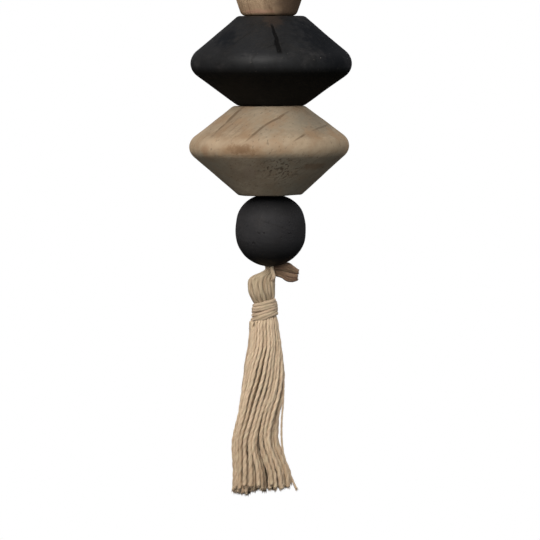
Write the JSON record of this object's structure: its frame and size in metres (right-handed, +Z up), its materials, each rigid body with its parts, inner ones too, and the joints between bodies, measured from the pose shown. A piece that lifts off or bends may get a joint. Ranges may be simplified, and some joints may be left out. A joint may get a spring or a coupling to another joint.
{
  "type": "tassel on a strand of wooden beads",
  "caption": "Jute tassel with a bound neck, hung on a doubled cord that runs through turned wooden beads to a knot and a hanging loop.",
  "frame": {"origin": "where a hook bears in the top of the hanging loop", "axes": "+Z up along the cord, +X to the side of the lower knot's loose ends, -Y to the front"},
  "size_m": [0.0568, 0.0568, 0.2324],
  "materials": {
    "bare_wood": "bare turned wood, dull",
    "black_paint": "satin black stain on wood",
    "jute": "natural jute twine",
    "dark_jute": "darker jute cord"
  },
  "bodies": {
    "root": {"bead_barrel_natural": "bare_wood", "bead_bicone_black": "black_paint", "bead_bicone_natural": "bare_wood", "bead_round_black": "black_paint", "hanging_cord": "dark_jute", "tassel_bundle": "jute", "binding_twine": "jute"}
  },
  "joints": []
}
